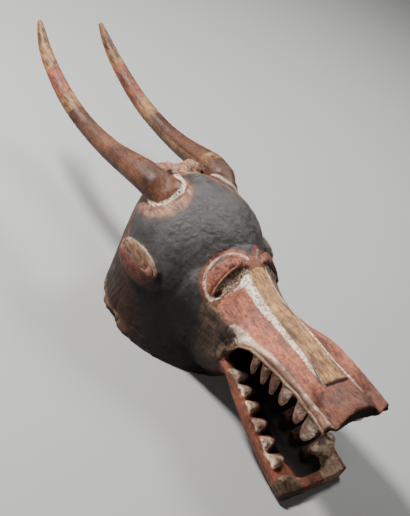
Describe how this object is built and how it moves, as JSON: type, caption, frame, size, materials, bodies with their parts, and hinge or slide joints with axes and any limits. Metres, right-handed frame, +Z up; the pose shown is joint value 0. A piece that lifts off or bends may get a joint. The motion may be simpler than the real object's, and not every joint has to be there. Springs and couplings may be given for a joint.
{
  "type": "horned helmet mask with long open toothed snout",
  "caption": "Carved and painted wooden helmet mask: hollow domed head, swept-back horns, cup ears, hooded eyes and a long snout with open, toothed jaws",
  "frame": {"origin": "middle of the bounding box's underside, on the plane of the rim", "axes": "+Z up, the face and snout look along -Y, the horns sweep back along +Y, +X is the mask's own left"},
  "size_m": [0.2694, 0.8922, 0.2409],
  "materials": {
    "carved_wood": "dark worn paint and patina over carved wood, red, cream and grey-black areas"
  },
  "bodies": {
    "root": {"mask": "carved_wood"}
  },
  "joints": []
}
